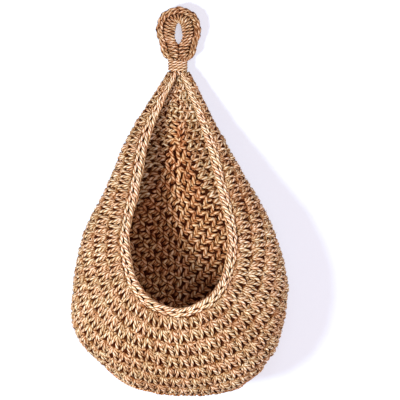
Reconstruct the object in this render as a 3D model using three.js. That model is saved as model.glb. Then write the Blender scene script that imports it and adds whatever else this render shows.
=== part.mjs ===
// Crocheted jute wall basket: a teardrop pouch of twine with an open front mouth, gathered at the
// neck under a binding and hung from a stitched loop.
// Millimetres, +Z up, +X to the right, front towards -Y, wall towards +Y.
// The origin is the hang point, where a hook meets the top of the loop's eye.

import * as THREE from 'three';
import { mergeVertices } from 'three/addons/utils/BufferGeometryUtils.js';

// Driving sizes
const clearance = 0.3;            // between two pieces that touch
const courseGap = 0.7;            // between two courses of stitches
const fabricThickness = 7;        // crochet fabric, outside face to inside face
const wallStandOff = 6;           // hang point to the wall face
const courseHeight = 14.2;        // one course of stitches
const bodyHeight = 322;           // gathered neck to the bottom of the pouch
const bodyWidth = 214.4;          // widest part of the pouch
const mouthReach = 105.5;         // back panel to the lowest point of the mouth, front to back
const mouthHeight = 235.2;        // gathered neck to the lowest point of the mouth
const mouthWidth = 100;           // widest part of the mouth
const edgingWidth = 9.5;          // crocheted edging round the mouth
const wallCourses = 7;            // courses that run beside the mouth from neck to neck
const panelCourses = 24;          // courses from the underside's middle up to the panel's tip

const wrapDrop = 36;              // hang point to the top of the binding
const wrapHeight = 14;            // top to bottom of the binding
const wrapTurns = 4.2;            // turns of binding twine
const wrapTwine = 2.3;            // binding twine
const wrapWidth = 18.4;           // binding, side to side
const wrapDepth = 12.4;           // binding, front to back

const loopWidth = 44.5;           // stitched loop, side to side
const loopThickness = 8;          // stitched loop, front to back
const rootWidth = 30;             // stitched loop above its root, side to side
const crownRise = 15.2;           // hang point to the top of the loop
const eyeWidth = 7.2;             // clear width of the loop's eye
const eyeHeight = 23;             // hang point to the tip where the eye closes

// Places that follow from the driving sizes
const backMiddle = wallStandOff - fabricThickness / 2;
const bodyTop = -(wrapDrop + wrapHeight + clearance);
const bodyDrop = bodyHeight - fabricThickness / 2;
const bodyHalf = (bodyWidth - fabricThickness) / 2;
const mouthHalf = mouthWidth / 2;
const hingeDrop = wrapDrop - clearance - loopThickness / 2;

// The half pouch is followed by ribs, from rib 0 at the neck to the last one down the middle.
// Each table has one share for each rib; a rib runs from the mouth round the belly to the spine.
const bellyWidthShares = [0.094, 0.280, 0.452, 0.652, 0.880, 0.999, 0.918, 0.560, 0];
const lastRib = bellyWidthShares.length - 1;
const bellyDropShares = [0, 0.112, 0.219, 0.354, 0.502, 0.682, 0.841, 0.970, 1];
const bellyDepthShares = [0.033, 0.100, 0.166, 0.260, 0.365, 0.460, 0.535, 0.592, 0.611];
const mouthWidthShares = [0.034, 0.382, 0.633, 0.822, 0.995, 0.926, 0.771, 0.508, 0];
const mouthDropShares = [0, 0.172, 0.329, 0.519, 0.692, 0.828, 0.905, 0.965, 1];
const mouthDepthShares = [0.057, 0.156, 0.280, 0.460, 0.650, 0.800, 0.905, 0.976, 1];
const spineDropShares = [0, 0.144, 0.270, 0.384, 0.510, 0.604, 0.674, 0.727, 0.749];
const kneeShares = [0.55, 0.68, 0.77, 0.80, 0.83, 0.82, 0.78, 0.70, 0.50];
const lipTiltShares = [0.40, 0.40, 0.40, 0.38, 0.32, 0.20, 0.05, -0.10, -0.15];
const edgingShares = [0.30, 0.75, 1, 1, 1, 1, 1, 1, 1];
const thicknessShares = [0.30, 0.66, 0.92, 1, 1, 1, 1, 1, 1];
const courseShares = [0.30, 0.45, 0.62, 0.90, 1, 1, 0.97, 0.92, 0.89];
const chevronDegrees = [62, 62, 60, 55, 50, 42, 33, 20, 0];
const roundShare = 0.55;          // handle of a rib's rounded stretches
const regularRibs = 24;           // evenly spaced ribs, besides those where a course ends
const ribSpacingShare = 0.6;      // an even rib this near to a course's end is left out
const stretchSteps = 72;          // points along each stretch of a rib
const searchSteps = 40;           // steps of a search for a rib

// Value of a table at a rib number between its entries; the far half of the pouch mirrors it.
function follow(table, rib, mirror = 1) {
  const last = table.length - 1;
  const at = (i) => {
    if (i < 0) return 2 * table[0] - table[1];
    return i > last ? mirror * table[2 * last - i] : table[i];
  };
  const i = Math.min(Math.floor(rib), last - 1);
  const u = rib - i;
  const [a, b, c, d] = [at(i - 1), at(i), at(i + 1), at(i + 2)];
  return b + 0.5 * u * (c - a + u * (2 * a - 5 * b + 4 * c - d + u * (3 * (b - c) + d - a)));
}

// One rib as points with their distances from the mouth's edge
function makeRib(rib) {
  const mouth = new THREE.Vector3(
    mouthHalf * follow(mouthWidthShares, rib, -1),
    backMiddle - mouthReach * follow(mouthDepthShares, rib),
    bodyTop - mouthHeight * follow(mouthDropShares, rib),
  );
  const belly = new THREE.Vector3(
    bodyHalf * follow(bellyWidthShares, rib, -1),
    backMiddle - mouthReach * follow(bellyDepthShares, rib),
    bodyTop - bodyDrop * follow(bellyDropShares, rib),
  );
  const spine = new THREE.Vector3(0, backMiddle, bodyTop - bodyDrop * follow(spineDropShares, rib));
  const rimward = new THREE.Vector3(belly.x, backMiddle, belly.z);
  const knee = spine.clone().lerp(rimward, follow(kneeShares, rib));
  const lip = belly.clone().sub(mouth);
  const lipEnd = mouth.clone().add(new THREE.Vector3(
    lip.x * roundShare, lip.y * follow(lipTiltShares, rib), lip.z * roundShare));
  const bellyFront = belly.clone().setY(belly.y - lip.y * roundShare);
  const bellyBack = belly.clone().setY(belly.y + (backMiddle - belly.y) * roundShare);
  const kneeEnd = knee.clone().lerp(rimward, roundShare);
  const stretches = [
    new THREE.CubicBezierCurve3(mouth, lipEnd, bellyFront, belly),
    new THREE.CubicBezierCurve3(belly, bellyBack, kneeEnd, knee),
    new THREE.LineCurve3(knee, spine),
  ];
  const points = [mouth];
  for (const stretch of stretches) points.push(...stretch.getPoints(stretchSteps).slice(1));
  const lengths = [0];
  for (let i = 1; i < points.length; i++) lengths.push(lengths[i - 1] + points[i].distanceTo(points[i - 1]));
  const panelAngle = Math.atan2(knee.z - spine.z, knee.x - spine.x);
  return { rib, points, lengths, length: lengths.at(-1), spine, panelAngle };
}

const ribs = new Map();
function getRib(rib) {
  if (!ribs.has(rib)) ribs.set(rib, makeRib(rib));
  return ribs.get(rib);
}

// Point of a rib at a distance from the mouth's edge
function pointOn(rib, distance) {
  const { points, lengths } = getRib(rib);
  let i = 1;
  while (i < lengths.length - 1 && lengths[i] < distance) i++;
  const share = (distance - lengths[i - 1]) / (lengths[i] - lengths[i - 1]);
  return points[i - 1].clone().lerp(points[i], share);
}

const edging = (rib) => edgingWidth * follow(edgingShares, rib);

function wallCourse(rib) {
  const room = (getRib(rib).length - edging(rib)) / wallCourses;
  return Math.min(courseHeight * follow(courseShares, rib), room);
}

const seam = (rib) => edging(rib) + wallCourses * wallCourse(rib);

// The back panel's chevron courses are counted up the spine, in millimetres of course height,
// from the middle of the pouch's underside to the panel's tip.
const chevron = (rib) => THREE.MathUtils.degToRad(follow(chevronDegrees, rib));
const ribStep = 1 / 32;
const spineCount = [getRib(lastRib).length - seam(lastRib)];
for (let rib = lastRib - ribStep; rib >= 0; rib -= ribStep) {
  const rise = getRib(rib).spine.z - getRib(rib + ribStep).spine.z;
  spineCount.push(spineCount.at(-1) + rise * Math.cos(chevron(rib + ribStep / 2)));
}

function countAtSpine(rib) {
  const place = Math.min((lastRib - rib) / ribStep, spineCount.length - 1);
  const i = Math.min(Math.floor(place), spineCount.length - 2);
  return spineCount[i] + (spineCount[i + 1] - spineCount[i]) * (place - i);
}

const countSlope = (rib) => Math.sin(chevron(rib) - getRib(rib).panelAngle);
const countAtSeam = (rib) => countAtSpine(rib) - (getRib(rib).length - seam(rib)) * countSlope(rib);
const distanceOfCount = (rib, count) => getRib(rib).length - (countAtSpine(rib) - count) / countSlope(rib);

// Rib at which a falling count reaches a value
function ribWhere(count, wanted) {
  let [low, high] = [0, lastRib];
  for (let i = 0; i < searchSteps; i++) {
    const middle = (low + high) / 2;
    if (count(middle) > wanted) low = middle;
    else high = middle;
  }
  return (low + high) / 2;
}

let panelTip = 0;
while (countAtSpine(panelTip) - countAtSeam(panelTip) < clearance) panelTip += ribStep;
const panelCourse = countAtSpine(panelTip) / panelCourses;

// Ribs that the solids use: where courses end on the seam or meet the spine, and even ones between
const courseEnds = [panelTip, lastRib];
for (let course = 1; course < panelCourses; course++) {
  courseEnds.push(ribWhere(countAtSeam, course * panelCourse - courseGap));
  const start = course * panelCourse + courseGap / 2;
  if (start > spineCount[0]) courseEnds.push(ribWhere(countAtSpine, start));
}
const evenStep = lastRib / regularRibs;
const usedRibs = [...courseEnds];
for (let i = 0; i < regularRibs; i++) {
  const rib = i * evenStep;
  if (courseEnds.every((end) => Math.abs(end - rib) > evenStep * ribSpacingShare)) usedRibs.push(rib);
}
usedRibs.sort((a, b) => a - b);

// Outward direction of the fabric at a place on a rib
function outward(rib, distance) {
  const place = pointOn(rib, distance);
  const span = getRib(rib).length;
  const share = distance / span;
  if (Math.abs(place.y - backMiddle) < clearance * ribStep && rib > 0) return new THREE.Vector3(0, 1, 0);
  const [before, after] = [Math.max(rib - ribStep, 0), Math.min(rib + ribStep, lastRib)];
  const along = pointOn(after, share * getRib(after).length).sub(pointOn(before, share * getRib(before).length));
  if (rib === lastRib) along.set(-1, 0, 0);
  const across = pointOn(rib, Math.min(distance + clearance, span))
    .sub(pointOn(rib, Math.max(distance - clearance, 0)));
  const out = along.cross(across).normalize();
  if (rib === 0) out.setZ(0).normalize();
  return out;
}

// Outside and inside points of the fabric, side 1 to the right and -1 to the left
function fabricAt(rib, distance, side, share = 1) {
  const half = share * follow(thicknessShares, rib) * fabricThickness / 2;
  const middle = pointOn(rib, distance);
  const out = outward(rib, distance);
  const outside = middle.clone().addScaledVector(out, half);
  const inside = middle.clone().addScaledVector(out, -half);
  if (side < 0) [middle, outside, inside].forEach((point) => point.setX(-point.x));
  return { rib, middle, outside, inside };
}

// Closed solid from polygons of fabric points: two faces, and a wall along each free edge
function fabricSolid(polygons) {
  const index = new Map();
  const places = [];
  const number = (place) => {
    const key = place.middle.toArray().map((value) => Math.round(value / (clearance * ribStep))).join(' ');
    if (!index.has(key)) {
      index.set(key, places.length);
      places.push(place);
    }
    return index.get(key);
  };
  const faces = [];
  const edges = new Map();
  for (const polygon of polygons) {
    let loop = polygon.map(number);
    loop = loop.filter((corner, i) => corner !== loop[(i + 1) % loop.length]);
    if (loop.length < 3) continue;
    faces.push(loop);
    loop.forEach((corner, i) => edges.set(`${corner} ${loop[(i + 1) % loop.length]}`, [corner, loop[(i + 1) % loop.length]]));
  }
  const corners = [];
  const add = (...triangle) => triangle.forEach((point) => corners.push(point.x, point.y, point.z));
  for (const loop of faces) {
    for (let i = 1; i < loop.length - 1; i++) {
      const [a, b, c] = [loop[0], loop[i], loop[i + 1]].map((corner) => places[corner]);
      add(a.outside, b.outside, c.outside);
      add(a.inside, c.inside, b.inside);
    }
  }
  for (const [from, to] of edges.values()) {
    if (edges.has(`${to} ${from}`)) continue;
    const [a, b] = [places[from], places[to]];
    if (a.rib < b.rib) {
      add(a.outside, a.inside, b.inside);
      add(a.outside, b.inside, b.outside);
    } else {
      add(a.outside, a.inside, b.outside);
      add(a.inside, b.inside, b.outside);
    }
  }
  return closed(corners);
}

function closed(corners) {
  const geometry = new THREE.BufferGeometry();
  geometry.setAttribute('position', new THREE.Float32BufferAttribute(corners, 3));
  const merged = mergeVertices(geometry);
  merged.computeVertexNormals();
  return merged;
}

// Strip of fabric on both halves, between two distances that each rib gives
function strip(ribList, near, far, nearShare = 1, farShare = 1) {
  const polygons = [];
  for (const side of [1, -1]) {
    for (let i = 1; i < ribList.length; i++) {
      const [a, b] = [ribList[i - 1], ribList[i]];
      const polygon = [
        fabricAt(a, near(a), side, nearShare),
        fabricAt(b, near(b), side, nearShare),
        fabricAt(b, far(b), side, farShare),
        fabricAt(a, far(a), side, farShare),
      ];
      polygons.push(side > 0 ? polygon : polygon.reverse());
    }
  }
  return polygons;
}

function makeWallCourse(course) {
  const near = (rib) => edging(rib) + course * wallCourse(rib) + courseGap / 2;
  const far = (rib) => edging(rib) + (course + 1) * wallCourse(rib) - courseGap / 2;
  return fabricSolid(strip(usedRibs, near, far));
}

// A chevron course of the back panel, cut short by the seam at its ends and by the spine on top
function makePanelCourse(course) {
  const start = course > 0 ? course * panelCourse + courseGap / 2 : -Infinity;
  const end = (course + 1) * panelCourse;
  const limits = (rib) => {
    const low = Math.max(start, countAtSeam(rib) + courseGap / 2);
    const high = Math.min(end - courseGap / 2, countAtSpine(rib));
    return low < high ? [low, high] : [high, high];
  };
  const first = course + 1 < panelCourses ? ribWhere(countAtSeam, end - courseGap) : panelTip;
  const last = start > spineCount[0] ? ribWhere(countAtSpine, start) : lastRib;
  const ribList = usedRibs.filter((rib) => rib >= first && rib <= last);
  const near = (rib) => distanceOfCount(rib, limits(rib)[0]);
  const far = (rib) => distanceOfCount(rib, limits(rib)[1]);
  return fabricSolid(strip(ribList, near, far));
}

// The mouth's edging is a rounded bead, thin at the lip and full behind it
const beadShares = [0, 0.30, 0.75, 1];
const beadFullness = [0.55, 1.15, 1.20, 0.95];
function makeMouthEdging() {
  const polygons = [];
  for (let i = 1; i < beadShares.length; i++) {
    const near = (rib) => (edging(rib) - courseGap / 2) * beadShares[i - 1];
    const far = (rib) => (edging(rib) - courseGap / 2) * beadShares[i];
    polygons.push(...strip(usedRibs, near, far, beadFullness[i - 1], beadFullness[i]));
  }
  return fabricSolid(polygons);
}

// Solid swept through rings of points, each ring a list of the same count
function ringSolid(rings) {
  const corners = [];
  const add = (...triangle) => triangle.forEach((point) => corners.push(point.x, point.y, point.z));
  const count = rings[0].length;
  for (let i = 1; i < rings.length; i++) {
    for (let j = 0; j < count; j++) {
      const k = (j + 1) % count;
      add(rings[i - 1][j], rings[i - 1][k], rings[i][k]);
      add(rings[i - 1][j], rings[i][k], rings[i][j]);
    }
  }
  const [start, end] = [rings[0], rings.at(-1)];
  for (let j = 1; j < count - 1; j++) {
    add(start[0], start[j + 1], start[j]);
    add(end[0], end[j], end[j + 1]);
  }
  return corners;
}

// The loop is three bands side by side, each running from one leg over the crown to the other leg:
// the chain round the eye, the upright stitches on it and the braid outside. Stations go up a leg.
const loopHalf = loopWidth / 2;
const loopMiddle = (backMiddle + pointOn(0, 0).y) / 2;
const legHalf = rootWidth / 2;
const rootRadius = loopThickness / 2;
const eyeSpreadShares = [0.10, 0.54, 1, 0.86, 0.58, 0];
const eyeDropShares = [1, 0.88, 0.65, 0.34, 0.10, 0];
const loopSpreadShares = [0.765, 0.885, 0.965, 1, 0.715, 0];
const loopDropShares = [0.876, 0.692, 0.595, 0.433, 0.141, 0];
const rootLossShare = 0.30;
const bandShares = [0, 0.19, 0.62, 1];
const bandDepthShares = [0.66, 0.80, 1];
const bandNames = ['loop_eye_chain', 'loop_upright_stitches', 'loop_outer_braid'];
const outlineAcross = [-1, -0.6, 0.6, 1, 1, 0.6, -0.6, -1];
const outlineDeep = [-0.5, -1, -1, -0.5, 0.5, 1, 1, 0.5];
const lastStation = eyeSpreadShares.length;
const stationSteps = 3;
const rootSteps = 3;
const rootTurn = THREE.MathUtils.degToRad(78);
const eyeX = [clearance / 2, ...eyeSpreadShares.map((share) => share * eyeWidth / 2)];
const eyeZ = [-hingeDrop, ...eyeDropShares.map((share) => -share * eyeHeight)];
const loopX = [legHalf, ...loopSpreadShares.map((share) => share * loopHalf)];
const loopZ = [-hingeDrop, ...loopDropShares.map((share) => crownRise - share * (crownRise + hingeDrop))];

function makeLoopBand(band) {
  const ringAt = (station, turn, side) => {
    const drop = rootRadius * Math.sin(turn);
    const halfDepth = Math.min(rootRadius * bandDepthShares[band], rootRadius * Math.cos(turn));
    const eye = new THREE.Vector3(follow(eyeX, station, -1), loopMiddle, follow(eyeZ, station) - drop);
    const spread = follow(loopX, station, -1) * (1 - rootLossShare * Math.sin(turn));
    const rim = new THREE.Vector3(spread, loopMiddle, follow(loopZ, station) - drop);
    const gap = clearance / 2 / eye.distanceTo(rim);
    const near = eye.clone().lerp(rim, bandShares[band] + (band > 0 ? gap : 0));
    const far = eye.clone().lerp(rim, bandShares[band + 1] - (band < bandNames.length - 1 ? gap : 0));
    return outlineAcross.map((across, i) => {
      const point = near.clone().lerp(far, (1 + across) / 2);
      point.y += halfDepth * outlineDeep[i];
      point.x *= side;
      return point;
    });
  };
  const leg = (side) => {
    const rings = [];
    for (let i = rootSteps; i > 0; i--) rings.push(ringAt(0, rootTurn * i / rootSteps, side));
    for (let i = 0; i < lastStation * stationSteps; i++) rings.push(ringAt(i / stationSteps, 0, side));
    return rings;
  };
  return closed(ringSolid([...leg(1), ringAt(lastStation, 0, 1), ...leg(-1).reverse()]));
}

// The gathered neck is the drawn-in end of the fabric that the binding holds.
const neckSides = 20;
function makeGatheredNeck() {
  const halfWidth = wrapWidth / 2 - wrapTwine - clearance;
  const halfDepth = wrapDepth / 2 - wrapTwine - clearance;
  const ring = (z) => Array.from({ length: neckSides }, (_, i) => {
    const turn = 2 * Math.PI * i / neckSides;
    return new THREE.Vector3(halfWidth * Math.cos(turn), loopMiddle + halfDepth * Math.sin(turn), z);
  });
  return closed(ringSolid([ring(-wrapDrop - wrapHeight), ring(-wrapDrop)]));
}

// The binding is one unbroken twine wound round the neck.
const stepsPerTurn = 24;
const tubeSides = 6;
function makeBinding() {
  const radius = wrapTwine / 2;
  const steps = Math.round(wrapTurns * stepsPerTurn);
  const centres = [];
  for (let i = 0; i <= steps; i++) {
    const turn = 2 * Math.PI * i / stepsPerTurn;
    centres.push(new THREE.Vector3(
      (wrapWidth / 2 - radius) * Math.sin(turn),
      loopMiddle + (wrapDepth / 2 - radius) * Math.cos(turn),
      -wrapDrop - wrapHeight + radius + (wrapHeight - wrapTwine) * i / steps,
    ));
  }
  const axis = new THREE.Vector3(0, 0, 1);
  const rings = centres.map((centre, i) => {
    const along = centres[Math.min(i + 1, steps)].clone().sub(centres[Math.max(i - 1, 0)]).normalize();
    const sideways = along.clone().cross(axis).normalize();
    const upward = along.clone().cross(sideways);
    return Array.from({ length: tubeSides }, (_, j) => {
      const turn = 2 * Math.PI * j / tubeSides;
      return centre.clone()
        .addScaledVector(sideways, radius * Math.cos(turn))
        .addScaledVector(upward, radius * Math.sin(turn));
    });
  });
  let leastGap = Infinity;
  for (let i = 0; i < rings.length; i++) {
    for (let j = i + stepsPerTurn / 2; j < rings.length; j++) {
      for (const a of rings[i]) for (const b of rings[j]) leastGap = Math.min(leastGap, a.distanceTo(b));
    }
  }
  console.log(`binding: least gap between its turns ${leastGap.toFixed(2)} mm`);
  return closed(ringSolid(rings));
}

const jute = { color: 0xb98f63, roughness: 0.95, metalness: 0 };
const straw = { color: 0xcfae82, roughness: 0.92, metalness: 0 };
const group = new THREE.Group();

function addPiece(name, geometry, finish) {
  const mesh = new THREE.Mesh(geometry, new THREE.MeshStandardMaterial(finish));
  mesh.name = name;
  group.add(mesh);
}

const twoDigits = (number) => String(number).padStart(2, '0');
for (let course = 0; course < panelCourses; course++) {
  addPiece(`back_panel_course_${twoDigits(course + 1)}`, makePanelCourse(course), jute);
}
for (let course = 0; course < wallCourses; course++) {
  addPiece(`wall_course_${twoDigits(course + 1)}`, makeWallCourse(course), jute);
}
addPiece('mouth_edging', makeMouthEdging(), straw);
addPiece('gathered_neck', makeGatheredNeck(), jute);
addPiece('neck_binding', makeBinding(), straw);
bandNames.forEach((name, band) => addPiece(name, makeLoopBand(band), jute));

export default group;
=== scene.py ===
import math

import bpy
import numpy as np
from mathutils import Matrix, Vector


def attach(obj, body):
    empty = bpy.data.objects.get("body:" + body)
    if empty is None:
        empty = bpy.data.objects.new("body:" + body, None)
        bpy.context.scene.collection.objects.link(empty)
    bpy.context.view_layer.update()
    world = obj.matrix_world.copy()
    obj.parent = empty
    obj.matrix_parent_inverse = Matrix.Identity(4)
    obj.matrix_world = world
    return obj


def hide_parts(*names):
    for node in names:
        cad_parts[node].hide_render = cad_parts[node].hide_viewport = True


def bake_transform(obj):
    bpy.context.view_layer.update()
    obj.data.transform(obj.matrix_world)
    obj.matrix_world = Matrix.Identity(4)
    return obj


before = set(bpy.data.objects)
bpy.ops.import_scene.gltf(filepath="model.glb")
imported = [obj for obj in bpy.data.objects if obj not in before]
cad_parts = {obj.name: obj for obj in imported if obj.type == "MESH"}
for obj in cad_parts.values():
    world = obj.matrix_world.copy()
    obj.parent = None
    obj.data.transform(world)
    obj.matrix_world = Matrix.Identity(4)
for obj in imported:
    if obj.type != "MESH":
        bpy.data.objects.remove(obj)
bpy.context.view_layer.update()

chance = np.random.default_rng(41)
MM = 0.001

# Sizes that the solids have too, in millimetres; heights are measured from the hang point
CLEARANCE = 0.3
FABRIC_THICKNESS = 7.0
STAND_OFF = 6.0
COURSE_HEIGHT = 14.2
BODY_HEIGHT = 322
BODY_WIDTH = 214.4
MOUTH_REACH = 105.5
MOUTH_HEIGHT = 235.2
MOUTH_WIDTH = 100
EDGING_WIDTH = 9.5
WALL_COURSES = 7
PANEL_COURSES = 24
WRAP_DROP = 36.0
WRAP_HEIGHT = 14.0
WRAP_DEPTH = 12.4
LOOP_THICKNESS = 8.0
BACK_MIDDLE = STAND_OFF - FABRIC_THICKNESS / 2
BODY_TOP = -(WRAP_DROP + WRAP_HEIGHT + CLEARANCE)
BODY_DROP = BODY_HEIGHT - FABRIC_THICKNESS / 2
BODY_HALF = (BODY_WIDTH - FABRIC_THICKNESS) / 2
MOUTH_HALF = MOUTH_WIDTH / 2
HINGE_Y = -0.507
HINGE_Z = -(WRAP_DROP - (CLEARANCE + LOOP_THICKNESS / 2))

# One share for each rib of the half pouch, from the neck to the middle
BELLY_WIDTH_SHARES = [0.094, 0.280, 0.452, 0.652, 0.880, 0.999, 0.918, 0.560, 0]
BELLY_DROP_SHARES = [0, 0.112, 0.219, 0.354, 0.502, 0.682, 0.841, 0.970, 1]
BELLY_DEPTH_SHARES = [0.033, 0.100, 0.166, 0.260, 0.365, 0.460, 0.535, 0.592, 0.611]
MOUTH_WIDTH_SHARES = [0.034, 0.382, 0.633, 0.822, 0.995, 0.926, 0.771, 0.508, 0]
MOUTH_DROP_SHARES = [0, 0.172, 0.329, 0.519, 0.692, 0.828, 0.905, 0.965, 1]
MOUTH_DEPTH_SHARES = [0.057, 0.156, 0.280, 0.460, 0.650, 0.800, 0.905, 0.976, 1]
SPINE_DROP_SHARES = [0, 0.144, 0.270, 0.384, 0.510, 0.604, 0.674, 0.727, 0.749]
KNEE_SHARES = [0.55, 0.68, 0.77, 0.80, 0.83, 0.82, 0.78, 0.70, 0.50]
LIP_TILT_SHARES = [0.40, 0.40, 0.40, 0.38, 0.32, 0.20, 0.05, -0.10, -0.15]
EDGING_SHARES = [0.30, 0.75, 1, 1, 1, 1, 1, 1, 1]
THICKNESS_SHARES = [0.30, 0.66, 0.92, 1, 1, 1, 1, 1, 1]
COURSE_SHARES = [0.30, 0.45, 0.62, 0.90, 1, 1, 0.97, 0.92, 0.89]
CHEVRON_DEGREES = [62, 62, 60, 55, 50, 42, 33, 20, 0]
ROUND_SHARE = 0.55
LAST_RIB = len(BELLY_WIDTH_SHARES) - 1

# The middle of the fabric is kept as a fine grid of ribs and of shares of each rib's length
RIB_GRID = 320
SHARE_GRID = 400
ROUND_STEPS = 90
STRAIGHT_STEPS = 60
rib_at = np.linspace(0, LAST_RIB, RIB_GRID + 1)


def curve_point(a, b, c, d, u):
    """Point at the share u of the way from b to c, on a smooth curve through a, b, c and d."""
    return b + 0.5 * u * (c - a + u * (2 * a - 5 * b + 4 * c - d + u * (3 * (b - c) + d - a)))


def follow(table, rib, mirror=1):
    """Value of a table between its entries, at rib numbers; the far half of the pouch mirrors it."""
    table = np.asarray(table, float)
    last = len(table) - 1
    beyond = [mirror * table[last - 1], mirror * table[last - 2]]
    padded = np.concatenate([[2 * table[0] - table[1]], table, beyond])
    rib = np.asarray(rib, float)
    i = np.clip(np.floor(rib).astype(int), 0, last - 1)
    return curve_point(padded[i], padded[i + 1], padded[i + 2], padded[i + 3], rib - i)


def smooth_line(points, steps):
    """A smooth line through points, with so many steps in each stretch between two of them."""
    p = np.concatenate([[2 * points[0] - points[1]], points, [2 * points[-1] - points[-2]]])
    u = (np.arange(steps) / steps)[None, :, None]
    line = curve_point(p[:-3, None], p[1:-2, None], p[2:-1, None], p[3:, None], u)
    return np.concatenate([line.reshape(-1, points.shape[1]), points[-1:]])


def bezier(corners, steps):
    """A bend of every rib, from its four corners."""
    a, b, c, d = (corner[:, None, :] for corner in corners)
    u = np.linspace(0, 1, steps + 1)[None, :, None]
    return (1 - u) ** 3 * a + 3 * u * (1 - u) ** 2 * b + 3 * u**2 * (1 - u) * c + u**3 * d


def run_along(points):
    """Distance along a line at each of its points."""
    return np.concatenate([[0], np.cumsum(np.linalg.norm(np.diff(points, axis=0), axis=1))])


def side_points(half_width, width_shares, depth_shares, height, drop_shares):
    """Where each rib meets the mouth's edge or the belly."""
    return np.stack([half_width * follow(width_shares, rib_at, -1),
                     BACK_MIDDLE - MOUTH_REACH * follow(depth_shares, rib_at),
                     BODY_TOP - height * follow(drop_shares, rib_at)], 1)


def make_ribs():
    """The fabric's middle as a grid, the ribs' lengths, their heights at the spine and the panel's slope."""
    zero = np.zeros_like(rib_at)
    mouth = side_points(MOUTH_HALF, MOUTH_WIDTH_SHARES, MOUTH_DEPTH_SHARES, MOUTH_HEIGHT, MOUTH_DROP_SHARES)
    belly = side_points(BODY_HALF, BELLY_WIDTH_SHARES, BELLY_DEPTH_SHARES, BODY_DROP, BELLY_DROP_SHARES)
    spine_height = BODY_TOP - BODY_DROP * follow(SPINE_DROP_SHARES, rib_at)
    spine = np.stack([zero, zero + BACK_MIDDLE, spine_height], 1)
    rimward = belly.copy()
    rimward[:, 1] = BACK_MIDDLE
    knee = spine + (rimward - spine) * follow(KNEE_SHARES, rib_at)[:, None]
    lip = belly - mouth
    lip_shares = np.stack([zero + ROUND_SHARE, follow(LIP_TILT_SHARES, rib_at), zero + ROUND_SHARE], 1)
    belly_front = belly.copy()
    belly_front[:, 1] -= lip[:, 1] * ROUND_SHARE
    belly_back = belly.copy()
    belly_back[:, 1] += (BACK_MIDDLE - belly[:, 1]) * ROUND_SHARE
    knee_end = knee + (rimward - knee) * ROUND_SHARE
    front = bezier((mouth, mouth + lip * lip_shares, belly_front, belly), ROUND_STEPS)
    back = bezier((belly, belly_back, knee_end, knee), ROUND_STEPS)
    straight = (knee, knee + (spine - knee) / 3, knee + (spine - knee) * 2 / 3, spine)
    panel = bezier(straight, STRAIGHT_STEPS)
    fine = np.concatenate([front, back[:, 1:], panel[:, 1:]], 1)
    lengths = np.linalg.norm(np.diff(fine, axis=1), axis=2)
    run = np.concatenate([np.zeros((len(rib_at), 1)), np.cumsum(lengths, 1)], 1)
    even = np.linspace(0, 1, SHARE_GRID + 1)
    points = np.empty((len(rib_at), SHARE_GRID + 1, 3))
    for i in range(len(rib_at)):
        for axis in range(3):
            points[i, :, axis] = np.interp(even * run[i, -1], run[i], fine[i, :, axis])
    slope = np.arctan2(knee[:, 2] - spine[:, 2], knee[:, 0] - spine[:, 0])
    return points, run[:, -1], spine[:, 2], slope


def make_outward(points):
    """The direction out of the fabric at every point of the grid."""
    along = np.gradient(points, axis=0)
    along[0, :, 2] = along[1, :, 2]
    along[-1] = [-1, 0, 0]
    out = np.cross(along, np.gradient(points, axis=1))
    out /= np.maximum(np.linalg.norm(out, axis=2), 1e-9)[..., None]
    out[0] = out[1]
    on_panel = np.abs(points[..., 1] - BACK_MIDDLE) < 0.01
    out[on_panel] = [0, 1, 0]
    return out


grid, rib_length, spine_z, panel_slope = make_ribs()
outward = make_outward(grid)


def sample(table, rib, share):
    """Value of a grid at rib numbers and shares of the ribs' length."""
    x = np.clip(rib / LAST_RIB * RIB_GRID, 0, RIB_GRID - 1e-6)
    y = np.clip(share * SHARE_GRID, 0, SHARE_GRID - 1e-6)
    i, j = x.astype(int), y.astype(int)
    u, w = (x - i)[..., None], (y - j)[..., None]
    return ((table[i, j] * (1 - u) + table[i + 1, j] * u) * (1 - w)
            + (table[i, j + 1] * (1 - u) + table[i + 1, j + 1] * u) * w)


def length_of(rib):
    return np.interp(rib, rib_at, rib_length)


# The soft pouch hangs a little out of true: at each height its sides lean by so many millimetres, and at the
# foot it has only a share of its width
LEAN = [(-368, 10.4), (-358, 6.6), (-348, 6.7), (-338, 5.0), (-328, 2.8), (-318, 0.6), (-305, -0.4),
        (-283, 0.6), (-268, 2.1), (-233, 1.7), (-218, 0.8), (-198, 0.8), (-178, 1.0), (-158, -0.5),
        (-143, -1.3), (-128, -2.8), (-108, -3.6), (-98, -3.3), (-78, -2.0), (-62, -0.6), (-50, 0)]
FOOT_WIDTH_SHARES = [(-372, 0.94), (-358, 0.94), (-348, 0.96), (-338, 0.965), (-326, 1)]
FOOT_TOP = -300
FOOT_FADE = 40
belly_width = BODY_HALF * follow(BELLY_WIDTH_SHARES, rib_at, -1)
belly_height = BODY_TOP - BODY_DROP * follow(BELLY_DROP_SHARES, rib_at)


def at_height(table, z):
    """Value of a table of (height, value) at heights."""
    heights, values = np.transpose(table)
    return np.interp(z, heights, values)


def lean(point):
    """Points with the pouch's lean, which is full at the sides and the foot and little in the middle."""
    z = point[..., 2]
    half = np.interp(z, belly_height[::-1], belly_width[::-1]) + FABRIC_THICKNESS / 2
    share = np.clip(np.abs(point[..., 0]) / half, 0, 1) ** 2
    foot = np.clip((FOOT_TOP - z) / FOOT_FADE, 0, 1)
    point[..., 0] *= at_height(FOOT_WIDTH_SHARES, z)
    point[..., 0] += at_height(LEAN, z) * np.maximum(share, foot)
    return point


def fabric(rib, distance, lift, side):
    """Points of the fabric at ribs and distances from the mouth, lifted outward by millimetres."""
    share = distance / length_of(rib)
    out = sample(outward, rib, share)
    out /= np.linalg.norm(out, axis=-1, keepdims=True)
    point = sample(grid, rib, share) + out * lift[..., None]
    point[..., 0] *= side
    return lean(point)


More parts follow.
